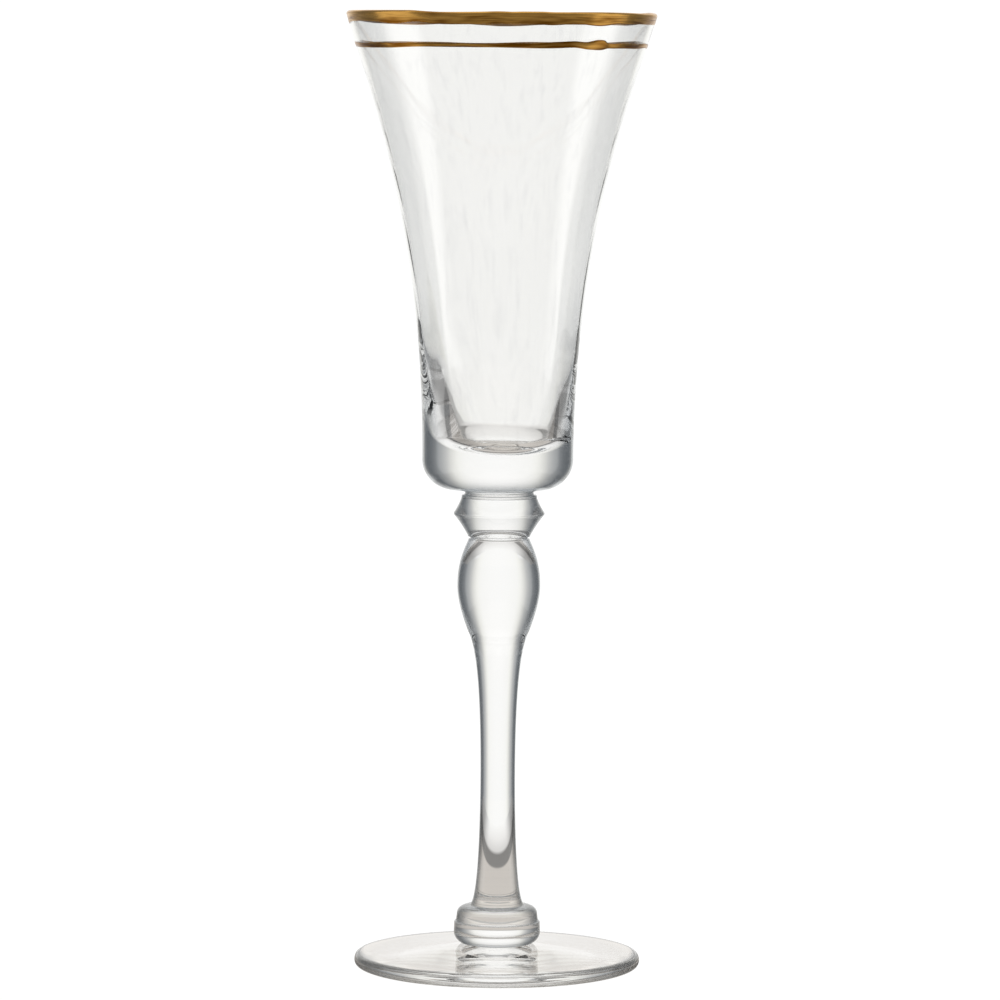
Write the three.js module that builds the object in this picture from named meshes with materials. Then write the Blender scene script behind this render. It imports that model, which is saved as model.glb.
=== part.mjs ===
// A stemmed champagne flute: hand-made clear glass with two lines of fired gold at the rim.
// Millimetres, +Z up. The origin is the centre of the surface that the foot stands on.
//
// From the top down the glass is a flared bowl with soft vertical panels pressed into its
// inside, a thin wafer, a ridged knop, a second wafer, a solid baluster stem, a collar and a
// disc foot. Each was gathered and shaped by itself and then joined hot to the one below.

import * as THREE from "three";

// ---- Overall ----
const TOTAL_HEIGHT = 254;
const ROUND_STEPS = 48; // facets round the bowl, the foot and the gold
const SLIM_ROUND_STEPS = 36; // facets round the pieces of the stem

// ---- Foot ----
const FOOT_RADIUS = 38;
const FOOT_EDGE_THICKNESS = 3.8;
const FOOT_SEAT_HEIGHT = 6.3; // the flat that the collar stands on
const FOOT_CONTACT_INSET = 3.2; // from the rim to the ring that touches the table
const FOOT_CONTACT_WIDTH = 5;
const FOOT_HOLLOW_DEPTH = 1.3; // the underside is drawn up in the middle
const FOOT_HUB_RADIUS = 14.5;
const FOOT_HUB_HEIGHT = 5.5;
const FOOT_TOP_RISE = 0.4; // how far the top surface swells between its edge and its hub

// ---- Collar on the foot ----
const COLLAR_HEIGHT = 10.3;
const COLLAR_SEAT_RADIUS = 9;
const COLLAR_RADIUS = 11.5;
const COLLAR_WAIST_HEIGHT = 5.8; // the small tooled step, above the seat
const COLLAR_STEP = 0.4;
const COLLAR_UPPER_TAPER = 0.2;
const COLLAR_SHOULDER_HEIGHT = 2.4;
const COLLAR_UNDERCUT_HEIGHT = 2.9;

// ---- Baluster stem ----
const STEM_FOOT_RADIUS = 7.4;
const STEM_WAIST_RADIUS = 4.62;
const STEM_WAIST_HEIGHT = 35; // above the collar
const STEM_BULB_RADIUS = 11.03;
const STEM_BULB_DROP = 12.3; // from the stem's top to the fattest part of the bulb
const STEM_SHOULDER_RADIUS = 7.8; // where the bulb's curve turns into the shaft's
const STEM_SHOULDER_DROP = 12.8; // from the bulb's fattest part
const STEM_SHOULDER_SLOPE = 0.437; // radius gained per millimetre of height there
const STEM_TOP_RADIUS = 8.15;
const STEM_NECK_SLOPE = 0.45; // radius lost per millimetre of height just under the wafer
const STEM_FLARE_EASE = 0.25; // how far the foot's flare stays off the shaft's own line
const STEM_BEND = 2.7; // reach of the short bends, at the shoulder and under the wafer

// ---- Wafers and knop between the stem and the bowl ----
const LOWER_WAFER_THICKNESS = 1.2;
const LOWER_WAFER_RADIUS = 8.4;
const KNOP_HEIGHT = 10;
const KNOP_BOTTOM_RADIUS = 8.3;
const KNOP_RIDGE_RADIUS = 12.25;
const KNOP_RIDGE_HEIGHT = 5.75;
const KNOP_RIDGE_SOFTNESS = 0.5;
const KNOP_TOP_RADIUS = 10;
const UPPER_WAFER_THICKNESS = 2.3;
const UPPER_WAFER_RADIUS = 10;
const UPPER_WAFER_SHOULDER = 0.75; // above the knop
const UPPER_WAFER_GROOVE_RADIUS = 8.9;
const UPPER_WAFER_SEAT_RADIUS = 10.6; // where the glass spreads out under the bowl

// ---- Bowl ----
const BOWL_HEIGHT = 125.9;
const BOWL_BASE_RADIUS = 20.03;
const BOWL_CORNER_RADIUS = 8;
const RIM_RADIUS = 40.9;
const FLARE_SLOPE = 0.266; // radius gained per millimetre of height at the rim
const WALL_AT_RIM = 1.3;
const WALL_IN_MIDDLE = 1.6;
const WALL_THINNING = 60; // below the lip, where the wall is at its middle thickness
const WALL_GAIN = 5.7; // how much thicker the wall gets towards the solid base
const WALL_GAIN_RISE = 30;
const WALL_GAIN_POWER = 1.6; // the gain is quick low down and eases out upwards
const BASE_THICKNESS = 9.2; // solid glass under the cavity
const CAVITY_BOTTOM_RISE = 5.2; // height of the cavity's rounded bottom
const CAVITY_SIDE_PULL = 3; // how long that bottom's curve runs down the side, and
const CAVITY_FLOOR_PULL = 7.5; // how long it runs along the floor
const STRAIGHT_PULL = 0.546; // how long the wall stays upright, and
const FLARE_PULL = 0.134; // how long it keeps the rim's slope, along the wall's height

// ---- Panels inside the bowl ----
const PANEL_COUNT = 12;
const PANEL_DEPTH = 0.62; // how far the middle of a panel stands in from a round wall
const PANEL_FADE_BELOW_LIP = 12;
const PANEL_START = 25; // above the cavity's bottom, where the panels are at their full depth

// ---- Gold ----
const GOLD_THICKNESS = 0.22;
const GOLD_CLEARANCE = 0.04;
const RIM_BAND_WIDTH = 3.1;
const RIM_BAND_INSIDE_WIDTH = 1.4;
const GOLD_LINE_WIDTH = 1.2;
const GOLD_LINE_BELOW_LIP = 8.8;

// ---- Heights where the pieces meet ----
const footTop = FOOT_SEAT_HEIGHT;
const collarTop = footTop + COLLAR_HEIGHT;
const lipTop = TOTAL_HEIGHT - GOLD_CLEARANCE - GOLD_THICKNESS;
const bowlBottom = lipTop - BOWL_HEIGHT;
const knopTop = bowlBottom - UPPER_WAFER_THICKNESS;
const knopBottom = knopTop - KNOP_HEIGHT;
const stemTop = knopBottom - LOWER_WAFER_THICKNESS;

const clearGlass = () =>
  new THREE.MeshStandardMaterial({
    color: 0xeef1f0,
    roughness: 0.04,
    metalness: 0,
    transparent: true,
    opacity: 0.35,
  });

const firedGold = () =>
  new THREE.MeshStandardMaterial({ color: 0xb8893f, roughness: 0.3, metalness: 1 });

/** A mesh turned round the Z axis from a profile of [radius, height] points. */
function turned(name, profile, steps, material) {
  const points = profile.map((p) => new THREE.Vector2(p.x, p.y));
  const geometry = new THREE.LatheGeometry(points, steps);
  geometry.rotateX(Math.PI / 2);
  const mesh = new THREE.Mesh(geometry, material);
  mesh.name = name;
  return mesh;
}

/** The foot: a disc with a rounded edge, a gently rising top and a hollow underside. */
function makeFoot() {
  const edgeRound = FOOT_EDGE_THICKNESS / 2;
  const contactOuter = FOOT_RADIUS - FOOT_CONTACT_INSET;
  const contactInner = contactOuter - FOOT_CONTACT_WIDTH;
  const outline = new THREE.Path()
    .moveTo(0, FOOT_HOLLOW_DEPTH)
    .quadraticCurveTo(contactInner / 2, FOOT_HOLLOW_DEPTH, contactInner, 0)
    .lineTo(contactOuter, 0)
    .quadraticCurveTo(FOOT_RADIUS, 0, FOOT_RADIUS, edgeRound)
    .quadraticCurveTo(
      FOOT_RADIUS,
      FOOT_EDGE_THICKNESS,
      FOOT_RADIUS - FOOT_CONTACT_INSET / 2,
      FOOT_EDGE_THICKNESS,
    )
    .quadraticCurveTo(
      (FOOT_RADIUS + FOOT_HUB_RADIUS) / 2,
      FOOT_EDGE_THICKNESS + FOOT_TOP_RISE,
      FOOT_HUB_RADIUS,
      FOOT_HUB_HEIGHT,
    )
    .lineTo(COLLAR_SEAT_RADIUS, footTop)
    .lineTo(0, footTop);
  return turned("foot", outline.getPoints(5), ROUND_STEPS, clearGlass());
}

/** The collar: undercut where it meets the foot, one tooled step, a round shoulder. */
function makeCollar() {
  const widest = footTop + COLLAR_UNDERCUT_HEIGHT;
  const step = footTop + COLLAR_WAIST_HEIGHT;
  const shoulder = collarTop - COLLAR_SHOULDER_HEIGHT;
  const upperRadius = COLLAR_RADIUS - COLLAR_STEP;
  const outline = new THREE.Path()
    .moveTo(0, footTop)
    .lineTo(COLLAR_SEAT_RADIUS, footTop)
    .quadraticCurveTo(COLLAR_RADIUS, (footTop + widest) / 2, COLLAR_RADIUS, widest)
    .lineTo(COLLAR_RADIUS - COLLAR_UPPER_TAPER / 2, step)
    .lineTo(upperRadius, step + COLLAR_STEP)
    .lineTo(upperRadius - COLLAR_UPPER_TAPER, shoulder)
    .quadraticCurveTo(
      upperRadius - COLLAR_UPPER_TAPER,
      collarTop - COLLAR_SHOULDER_HEIGHT / 5,
      STEM_FOOT_RADIUS,
      collarTop,
    )
    .lineTo(0, collarTop);
  return turned("foot_collar", outline.getPoints(4), SLIM_ROUND_STEPS, clearGlass());
}

/** The stem: flared at the foot, thin at its waist, then a bulb under the knop. */
function makeStem() {
  const waist = collarTop + STEM_WAIST_HEIGHT;
  const bulb = stemTop - STEM_BULB_DROP;
  const shoulder = bulb - STEM_SHOULDER_DROP;
  const shaft = shoulder - waist;
  const outline = new THREE.Path()
    .moveTo(0, collarTop)
    .lineTo(STEM_FOOT_RADIUS, collarTop)
    .bezierCurveTo(
      STEM_WAIST_RADIUS + STEM_FLARE_EASE,
      collarTop + STEM_FLARE_EASE,
      STEM_WAIST_RADIUS,
      waist - STEM_WAIST_HEIGHT / 4,
      STEM_WAIST_RADIUS,
      waist,
    )
    .bezierCurveTo(
      STEM_WAIST_RADIUS,
      waist + (shaft * 3) / 4,
      STEM_SHOULDER_RADIUS - STEM_SHOULDER_SLOPE * STEM_BEND,
      shoulder - STEM_BEND,
      STEM_SHOULDER_RADIUS,
      shoulder,
    )
    .bezierCurveTo(
      STEM_SHOULDER_RADIUS + STEM_SHOULDER_SLOPE * STEM_BEND,
      shoulder + STEM_BEND,
      STEM_BULB_RADIUS,
      bulb - STEM_SHOULDER_DROP / 3,
      STEM_BULB_RADIUS,
      bulb,
    )
    .bezierCurveTo(
      STEM_BULB_RADIUS,
      bulb + STEM_BULB_DROP / 2,
      STEM_TOP_RADIUS + STEM_NECK_SLOPE * STEM_BEND,
      stemTop - STEM_BEND,
      STEM_TOP_RADIUS,
      stemTop,
    )
    .lineTo(0, stemTop);
  return turned("baluster_stem", outline.getPoints(8), SLIM_ROUND_STEPS, clearGlass());
}

/** The lower wafer: a thin disc with a rounded edge that the knop was set down on. */
function makeLowerWafer() {
  const middle = (stemTop + knopBottom) / 2;
  const bulge = 2 * LOWER_WAFER_RADIUS - KNOP_BOTTOM_RADIUS;
  const outline = new THREE.Path()
    .moveTo(0, stemTop)
    .lineTo(STEM_TOP_RADIUS, stemTop)
    .quadraticCurveTo(bulge, middle, KNOP_BOTTOM_RADIUS, knopBottom)
    .lineTo(0, knopBottom);
  return turned("lower_wafer", outline.getPoints(4), SLIM_ROUND_STEPS, clearGlass());
}

/** The knop: two near-straight flanks that meet in a sharp, slightly softened ridge. */
function makeKnop() {
  const ridge = knopBottom + KNOP_RIDGE_HEIGHT;
  const soft = KNOP_RIDGE_SOFTNESS;
  const outline = new THREE.Path()
    .moveTo(0, knopBottom)
    .lineTo(KNOP_BOTTOM_RADIUS, knopBottom)
    .lineTo(KNOP_RIDGE_RADIUS - soft / 2, ridge - soft)
    .quadraticCurveTo(KNOP_RIDGE_RADIUS, ridge, KNOP_RIDGE_RADIUS - soft / 2, ridge + soft)
    .lineTo(KNOP_TOP_RADIUS, knopTop)
    .lineTo(0, knopTop);
  return turned("ridged_knop", outline.getPoints(4), SLIM_ROUND_STEPS, clearGlass());
}

/** The upper wafer: a short grooved disc welded to the underside of the bowl. */
function makeUpperWafer() {
  const shoulder = knopTop + UPPER_WAFER_SHOULDER;
  const ends = (UPPER_WAFER_RADIUS + UPPER_WAFER_SEAT_RADIUS) / 2;
  const middle = (shoulder + bowlBottom) / 2;
  const outline = new THREE.Path()
    .moveTo(0, knopTop)
    .lineTo(KNOP_TOP_RADIUS, knopTop)
    .lineTo(UPPER_WAFER_RADIUS, shoulder)
    .quadraticCurveTo(
      2 * UPPER_WAFER_GROOVE_RADIUS - ends,
      middle,
      UPPER_WAFER_SEAT_RADIUS,
      bowlBottom,
    )
    .lineTo(0, bowlBottom);
  return turned("upper_wafer", outline.getPoints(4), SLIM_ROUND_STEPS, clearGlass());
}

/** The cubic curve of one side of the bowl's wall, from its upright foot to its flared lip. */
function wallCurve(baseRadius, middleRadius, rimRadius, baseHeight, rimHeight) {
  const rise = rimHeight - baseHeight;
  const pull = FLARE_PULL * rise;
  return new THREE.CubicBezierCurve(
    new THREE.Vector2(baseRadius, baseHeight),
    new THREE.Vector2(middleRadius, baseHeight + STRAIGHT_PULL * rise),
    new THREE.Vector2(rimRadius - FLARE_SLOPE * pull, rimHeight - pull),
    new THREE.Vector2(rimRadius, rimHeight),
  );
}

const WALL_STEPS = 12;
const CORNER_STEPS = 5;
const LIP_STEPS = 5;

/** How thick the wall is at a height, from the lip's own down to the heavy foot of the wall. */
function wallThickness(height, base, lip) {
  const { smoothstep } = THREE.MathUtils;
  const thinned = smoothstep(lip - height, 0, WALL_THINNING);
  const gained = Math.max(0, 1 - (height - base) / WALL_GAIN_RISE) ** WALL_GAIN_POWER;
  return WALL_AT_RIM + (WALL_IN_MIDDLE - WALL_AT_RIM) * thinned + WALL_GAIN * gained;
}

/** The radius of a run of wall points at a height, on the straight facets between them. */
function radiusOn(wall, height) {
  const i = wall.findIndex((p, k) => k > 0 && (p.y - height) * (wall[k - 1].y - height) <= 0);
  const a = wall[i - 1];
  const b = wall[i];
  return a.x + ((b.x - a.x) * (height - a.y)) / (b.y - a.y);
}

/** The stretches of the bowl's section: outer wall, lip, inner wall and the cavity's bottom. */
function bowlSection() {
  const lipRound = WALL_AT_RIM / 2;
  const lipCentre = new THREE.Vector2(RIM_RADIUS - lipRound, lipTop - lipRound);
  const outerBase = bowlBottom + BOWL_CORNER_RADIUS;
  const floor = bowlBottom + BASE_THICKNESS;
  const innerBase = floor + CAVITY_BOTTOM_RISE;
  const outer = wallCurve(
    BOWL_BASE_RADIUS,
    BOWL_BASE_RADIUS,
    RIM_RADIUS,
    outerBase,
    lipCentre.y,
  ).getPoints(WALL_STEPS);
  const inner = [];
  for (let i = 0; i <= WALL_STEPS; i++) {
    const share = (i / WALL_STEPS) ** 1.4; // shorter steps low down, where the wall swells
    const height = innerBase + (lipCentre.y - innerBase) * share;
    const thickness = wallThickness(height, innerBase, lipCentre.y);
    const outside = i === WALL_STEPS ? RIM_RADIUS : radiusOn(outer, height);
    inner.push(new THREE.Vector2(outside - thickness, height));
  }
  const taper = (WALL_GAIN * WALL_GAIN_POWER) / WALL_GAIN_RISE;
  const bottom = new THREE.CubicBezierCurve(
    inner[0],
    new THREE.Vector2(inner[0].x - taper * CAVITY_SIDE_PULL, innerBase - CAVITY_SIDE_PULL),
    new THREE.Vector2(CAVITY_FLOOR_PULL, floor),
    new THREE.Vector2(0, floor),
  );
  return {
    outer,
    lip: cornerPoints(lipCentre.x, lipCentre.y, lipRound, 0, Math.PI, LIP_STEPS),
    inner: inner.reverse(),
    bottom: bottom.getPoints(CORNER_STEPS + 2).slice(1),
    floor,
    innerBase,
  };
}

/** Points of an arc of the section between two angles, both ends left out. */
function cornerPoints(centreRadius, centreHeight, radius, from, to, steps = CORNER_STEPS) {
  const points = [];
  for (let i = 1; i < steps; i++) {
    const turn = from + ((to - from) * i) / steps;
    const across = radius * Math.cos(turn);
    const up = radius * Math.sin(turn);
    points.push(new THREE.Vector2(centreRadius + across, centreHeight + up));
  }
  return points;
}

/** How strongly the panels show at a height: none on the heavy base, none near the lip. */
function panelStrength(height, section) {
  const fadeEnd = lipTop - PANEL_FADE_BELOW_LIP;
  const pressed = section.innerBase + PANEL_START;
  const rising = THREE.MathUtils.smoothstep(height, section.innerBase, pressed);
  const faded = (height - section.innerBase) / (fadeEnd - section.innerBase);
  return rising * (1 - THREE.MathUtils.clamp(faded, 0, 1));
}

/** How far a flat panel stands in from a round wall, from 0 at its edges to 1 in its middle. */
function panelShape(angle) {
  const half = Math.PI / PANEL_COUNT;
  const turns = angle / (2 * half);
  const fromMiddle = (turns - Math.round(turns)) * 2 * half;
  const edge = 1 - Math.cos(half);
  return (1 - Math.cos(half) / Math.cos(fromMiddle)) / edge;
}

/** The bowl: a solid base, a flared wall, a round lip and a cavity with pressed panels. */
function makeBowl() {
  const section = bowlSection();
  const quarter = Math.PI / 2;
  const cornerRadius = BOWL_BASE_RADIUS - BOWL_CORNER_RADIUS;
  const cornerHeight = bowlBottom + BOWL_CORNER_RADIUS;
  const outside = [
    new THREE.Vector2(0, bowlBottom),
    new THREE.Vector2(cornerRadius, bowlBottom),
    ...cornerPoints(cornerRadius, cornerHeight, BOWL_CORNER_RADIUS, -quarter, 0),
    ...section.outer,
    ...section.lip,
  ];
  const inside = [...section.inner, ...section.bottom];
  const profile = [...outside, ...inside];
  const mesh = turned("bowl", profile, ROUND_STEPS, clearGlass());
  const position = mesh.geometry.getAttribute("position");
  for (let i = 0; i < position.count; i++) {
    const along = i % profile.length;
    const x = position.getX(i);
    const y = position.getY(i);
    const radius = Math.hypot(x, y);
    if (along < outside.length || radius === 0) continue;
    const strength = panelStrength(position.getZ(i), section);
    const angle = Math.atan2(x, -y);
    const scale = 1 - (PANEL_DEPTH * strength * panelShape(angle)) / radius;
    position.setX(i, x * scale);
    position.setY(i, y * scale);
  }
  mesh.geometry.computeVertexNormals();
  return mesh;
}

/** A run of points moved along its own normals, to the left of the way it runs. */
function offsetRun(run, distance) {
  return run.map((p, i) => {
    const before = run[Math.max(i - 1, 0)];
    const after = run[Math.min(i + 1, run.length - 1)];
    const way = new THREE.Vector2().subVectors(after, before).normalize();
    return new THREE.Vector2(p.x + way.y * distance, p.y - way.x * distance);
  });
}

/** A skin of gold that follows a run of the bowl's own section, just clear of the glass. */
function goldSkin(name, run) {
  const near = offsetRun(run, GOLD_CLEARANCE);
  const far = offsetRun(run, GOLD_CLEARANCE + GOLD_THICKNESS);
  const loop = [...far, ...near.reverse(), far[0]];
  return turned(name, loop, ROUND_STEPS, firedGold());
}

/** The rim band: gold over the lip, from the outside of the wall to a little way inside. */
function makeRimBand() {
  const section = bowlSection();
  const lower = lipTop - RIM_BAND_WIDTH;
  const innerLower = lipTop - RIM_BAND_INSIDE_WIDTH;
  const run = [
    new THREE.Vector2(radiusOn(section.outer, lower), lower),
    ...section.outer.filter((p) => p.y > lower),
    ...section.lip,
    ...section.inner.filter((p) => p.y > innerLower),
    new THREE.Vector2(radiusOn(section.inner, innerLower), innerLower),
  ];
  return goldSkin("rim_gold_band", run);
}

/** The gold line: a thin ring on the outside of the wall, a little below the rim band. */
function makeGoldLine() {
  const section = bowlSection();
  const middle = lipTop - GOLD_LINE_BELOW_LIP;
  const low = middle - GOLD_LINE_WIDTH / 2;
  const high = middle + GOLD_LINE_WIDTH / 2;
  const run = [
    new THREE.Vector2(radiusOn(section.outer, low), low),
    ...section.outer.filter((p) => p.y > low && p.y < high),
    new THREE.Vector2(radiusOn(section.outer, high), high),
  ];
  return goldSkin("gold_line", run);
}

const flute = new THREE.Group();
flute.name = "champagne_flute";
flute.add(makeFoot());
flute.add(makeCollar());
flute.add(makeStem());
flute.add(makeLowerWafer());
flute.add(makeKnop());
flute.add(makeUpperWafer());
flute.add(makeBowl());
flute.add(makeRimBand());
flute.add(makeGoldLine());

export default flute;
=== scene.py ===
"""A hand-made champagne flute in clear glass, with two lines of fired gold at its rim.

The glass is built in seven gathers, from the foot up to the bowl, each turned about the same
axis, and the gold is painted on last. Sizes are in millimetres, and heights and main radii come
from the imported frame. Every mesh is in metres, in the frame's own place.
"""

import logging
import math
from dataclasses import dataclass
from enum import Enum
from typing import Callable

import bpy
import numpy as np
from mathutils import Matrix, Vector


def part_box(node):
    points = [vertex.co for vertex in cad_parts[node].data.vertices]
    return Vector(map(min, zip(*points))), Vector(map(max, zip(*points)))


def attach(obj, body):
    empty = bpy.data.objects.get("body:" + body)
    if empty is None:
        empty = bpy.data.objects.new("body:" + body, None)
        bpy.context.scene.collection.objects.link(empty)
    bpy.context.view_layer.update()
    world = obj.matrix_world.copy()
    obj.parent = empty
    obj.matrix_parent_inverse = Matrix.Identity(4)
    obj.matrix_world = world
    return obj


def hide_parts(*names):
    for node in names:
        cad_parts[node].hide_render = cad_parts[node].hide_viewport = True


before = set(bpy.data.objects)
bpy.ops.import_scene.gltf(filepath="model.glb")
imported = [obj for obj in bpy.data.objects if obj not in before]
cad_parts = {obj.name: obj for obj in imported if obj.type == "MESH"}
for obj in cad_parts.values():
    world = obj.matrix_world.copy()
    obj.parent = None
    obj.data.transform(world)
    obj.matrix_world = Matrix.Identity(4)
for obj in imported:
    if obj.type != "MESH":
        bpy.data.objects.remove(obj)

LOG = logging.getLogger("flute")
MM = 0.001
BRUSH_MAP = "brush"  # the gold's UV map, laid along the brush's way

Point = tuple[float, float]


class Facets(Enum):
    """How many facets a turned piece has round its axis."""

    STEM = 128
    FOOT = 224
    BOWL = 288


class Coat(Enum):
    """The record's material slots."""

    GLASS = "clear_glass"
    GOLD = "fired_gold"


# ---- Outlines and turning ----


class Outline:
    """A half section, grown point by point, as (radius, height) in millimetres."""

    def __init__(self, radius: float, height: float) -> None:
        """Starts the outline.

        Args:
            radius: distance of the first point from the axis.
            height: height of the first point.
        """
        self.points: list[Point] = [(radius, height)]

    def line(self, radius: float, height: float, steps: int = 1) -> "Outline":
        """Adds a straight stretch.

        Args:
            radius: distance of its end from the axis.
            height: height of its end.
            steps: how many pieces it is cut into.

        Returns:
            The outline, so that calls can be chained.
        """
        start_radius, start_height = self.points[-1]
        for i in range(1, steps + 1):
            share = i / steps
            across = start_radius + (radius - start_radius) * share
            self.points.append((across, start_height + (height - start_height) * share))
        return self

    def curve(self, *controls: Point, steps: int = 12) -> "Outline":
        """Adds a Bezier curve of any degree that starts at the last point.

        Args:
            controls: its other control points, the last one being its end.
            steps: how many pieces it is cut into.

        Returns:
            The outline, so that calls can be chained.
        """
        hull = np.array([self.points[-1], *controls], float)
        degree = len(hull) - 1
        for i in range(1, steps + 1):
            share = i / steps
            weights = [
                math.comb(degree, k) * share**k * (1 - share) ** (degree - k)
                for k in range(degree + 1)
            ]
            radius, height = np.array(weights) @ hull
            self.points.append((float(radius), float(height)))
        return self

    def arc(self, centre: Point, radius: float, start: float, end: float, steps: int) -> "Outline":
        """Adds a circular arc about a centre.

        Args:
            centre: the centre's radius and height.
            radius: the arc's own radius.
            start: angle where it starts, in degrees, 0 pointing away from the axis.
            end: angle where it ends.
            steps: how many pieces it is cut into.

        Returns:
            The outline, so that calls can be chained.
        """
        for i in range(1, steps + 1):
            turn = math.radians(start + (end - start) * i / steps)
            across = centre[0] + radius * math.cos(turn)
            self.points.append((across, centre[1] + radius * math.sin(turn)))
        return self


def deselect_all() -> None:
    """Leaves nothing selected, in object mode."""
    if bpy.context.object is not None and bpy.context.object.mode != "OBJECT":
        bpy.ops.object.mode_set(mode="OBJECT")
    bpy.ops.object.select_all(action="DESELECT")


def turn(name: str, points: list[Point], facets: int) -> bpy.types.Object:
    """Turns a half section about the Z axis into one closed solid.

    A single vertex is extruded along the outline and the line is then spun all the way round.

    Args:
        name: the new piece's name.
        points: the outline, as (radius, height) in millimetres, from axis to axis or a loop.
        facets: how many facets it has round the axis.

    Returns:
        The new object, at the origin, with its place in its mesh.
    """
    deselect_all()
    radius, height = points[0]
    bpy.ops.mesh.primitive_plane_add(size=MM, location=(0, 0, 0))
    piece = bpy.context.object
    piece.name = name
    piece.data.name = name
    bpy.ops.object.mode_set(mode="EDIT")
    bpy.ops.mesh.select_all(action="SELECT")
    bpy.ops.mesh.merge(type="CENTER")
    bpy.ops.transform.translate(value=(radius * MM, 0, height * MM))
    for (from_radius, from_height), (to_radius, to_height) in zip(points, points[1:]):
        step = ((to_radius - from_radius) * MM, 0, (to_height - from_height) * MM)
        bpy.ops.mesh.extrude_region_move(TRANSFORM_OT_translate={"value": step})
    bpy.ops.mesh.select_all(action="SELECT")
    bpy.ops.mesh.spin(steps=facets, angle=math.tau, center=(0, 0, 0), axis=(0, 0, 1))
    bpy.ops.mesh.select_all(action="SELECT")
    bpy.ops.mesh.remove_doubles(threshold=MM / 500)
    bpy.ops.mesh.normals_make_consistent(inside=False)
    bpy.ops.object.mode_set(mode="OBJECT")
    return piece


def smooth(piece: bpy.types.Object, crease: float = 40) -> None:
    """Shades a piece smooth, apart from its creases.

    Args:
        piece: the piece.
        crease: the least angle between two faces that stays sharp, in degrees.
    """
    deselect_all()
    piece.select_set(True)
    bpy.context.view_layer.objects.active = piece
    bpy.ops.object.shade_smooth_by_angle(angle=math.radians(crease))


def places(piece: bpy.types.Object) -> np.ndarray:
    """The places of a piece's vertices, in millimetres, one row each."""
    flat = np.zeros(len(piece.data.vertices) * 3)
    piece.data.vertices.foreach_get("co", flat)
    return flat.reshape(-1, 3) / MM


def set_places(piece: bpy.types.Object, rows: np.ndarray) -> None:
    """Moves a piece's vertices.

    Args:
        piece: the piece.
        rows: their new places, in millimetres, one row each.
    """
    piece.data.vertices.foreach_set("co", (rows * MM).ravel())
    piece.data.update()


def polar(rows: np.ndarray) -> tuple[np.ndarray, np.ndarray, np.ndarray]:
    """Radius, angle from the front towards the right, in radians, and height of each row."""
    angle = np.arctan2(rows[:, 0], -rows[:, 1])
    return np.hypot(rows[:, 0], rows[:, 1]), angle, rows[:, 2]


def cartesian(radius: np.ndarray, angle: np.ndarray, height: np.ndarray) -> np.ndarray:
    """The rows that polar() took apart."""
    return np.column_stack((radius * np.sin(angle), -radius * np.cos(angle), height))


def sine(degrees: float) -> float:
    """The sine of an angle in degrees."""
    return math.sin(math.radians(degrees))


def cosine(degrees: float) -> float:
    """The cosine of an angle in degrees."""
    return math.cos(math.radians(degrees))


def smoothstep(low: float, high: float, value: np.ndarray) -> np.ndarray:
    """0 below low, 1 above high, and a smooth rise between them."""
    share = np.clip((value - low) / (high - low), 0, 1)
    return share * share * (3 - 2 * share)


def wander(angle: np.ndarray, lobes: list[tuple[int, float, float]]) -> np.ndarray:
    """A slow wave round the glass that closes on itself.

    Args:
        angle: where, in radians.
        lobes: for each wave, how many times it repeats, its height and where it starts, in degrees.

    Returns:
        The sum of the waves.
    """
    total = np.zeros_like(angle)
    for count, height, start in lobes:
        total += height * np.cos(count * (angle - math.radians(start)))
    return total


# ---- Finishes ----


def linear(colour: str) -> tuple[float, float, float, float]:
    """A linear colour from an sRGB hex value such as "C8A050"."""
    channels = [int(colour[i : i + 2], 16) / 255 for i in (0, 2, 4)]
    straight = [c / 12.92 if c <= 0.04045 else ((c + 0.055) / 1.055) ** 2.4 for c in channels]
    return (straight[0], straight[1], straight[2], 1.0)


def add_node(
    tree: bpy.types.NodeTree, kind: str, inputs: dict | None = None, **settings
) -> bpy.types.Node:
    """Adds a node, sets it up and links it.

    Args:
        tree: the node tree.
        kind: the node's type.
        inputs: for each input, by name or number, its value or the output that feeds it.
        settings: the node's own settings.

    Returns:
        The node.
    """
    made = tree.nodes.new(kind)
    for name, value in settings.items():
        setattr(made, name, value)
    for socket, value in (inputs or {}).items():
        if isinstance(value, bpy.types.NodeSocket):
            tree.links.new(value, made.inputs[socket])
        else:
            made.inputs[socket].default_value = value
    return made


def calculate(
    tree: bpy.types.NodeTree,
    operation: str,
    first: bpy.types.NodeSocket,
    second: bpy.types.NodeSocket | float = 0.0,
) -> bpy.types.NodeSocket:
    """One step of arithmetic between sockets."""
    return add_node(tree, "ShaderNodeMath", {0: first, 1: second}, operation=operation).outputs[0]


def split(tree: bpy.types.NodeTree, vector: bpy.types.NodeSocket) -> list[bpy.types.NodeSocket]:
    """The X, Y and Z of a vector."""
    return list(add_node(tree, "ShaderNodeSeparateXYZ", {0: vector}).outputs)


def span(
    tree: bpy.types.NodeTree,
    value: bpy.types.NodeSocket,
    start: float,
    end: float,
    levels: Point = (0.0, 1.0),
    soft: bool = False,
) -> bpy.types.NodeSocket:
    """Turns a span of values into a span of levels, held beyond both ends.

    Args:
        tree: the node tree.
        value: the value.
        start: the value at the first level.
        end: the value at the last level.
        levels: the two levels.
        soft: whether the change eases in and out.

    Returns:
        The level.
    """
    inputs = {
        "Value": value,
        "From Min": start,
        "From Max": end,
        "To Min": levels[0],
        "To Max": levels[1],
    }
    kind = "SMOOTHSTEP" if soft else "LINEAR"
    made = add_node(tree, "ShaderNodeMapRange", inputs, interpolation_type=kind)
    return made.outputs["Result"]


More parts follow.
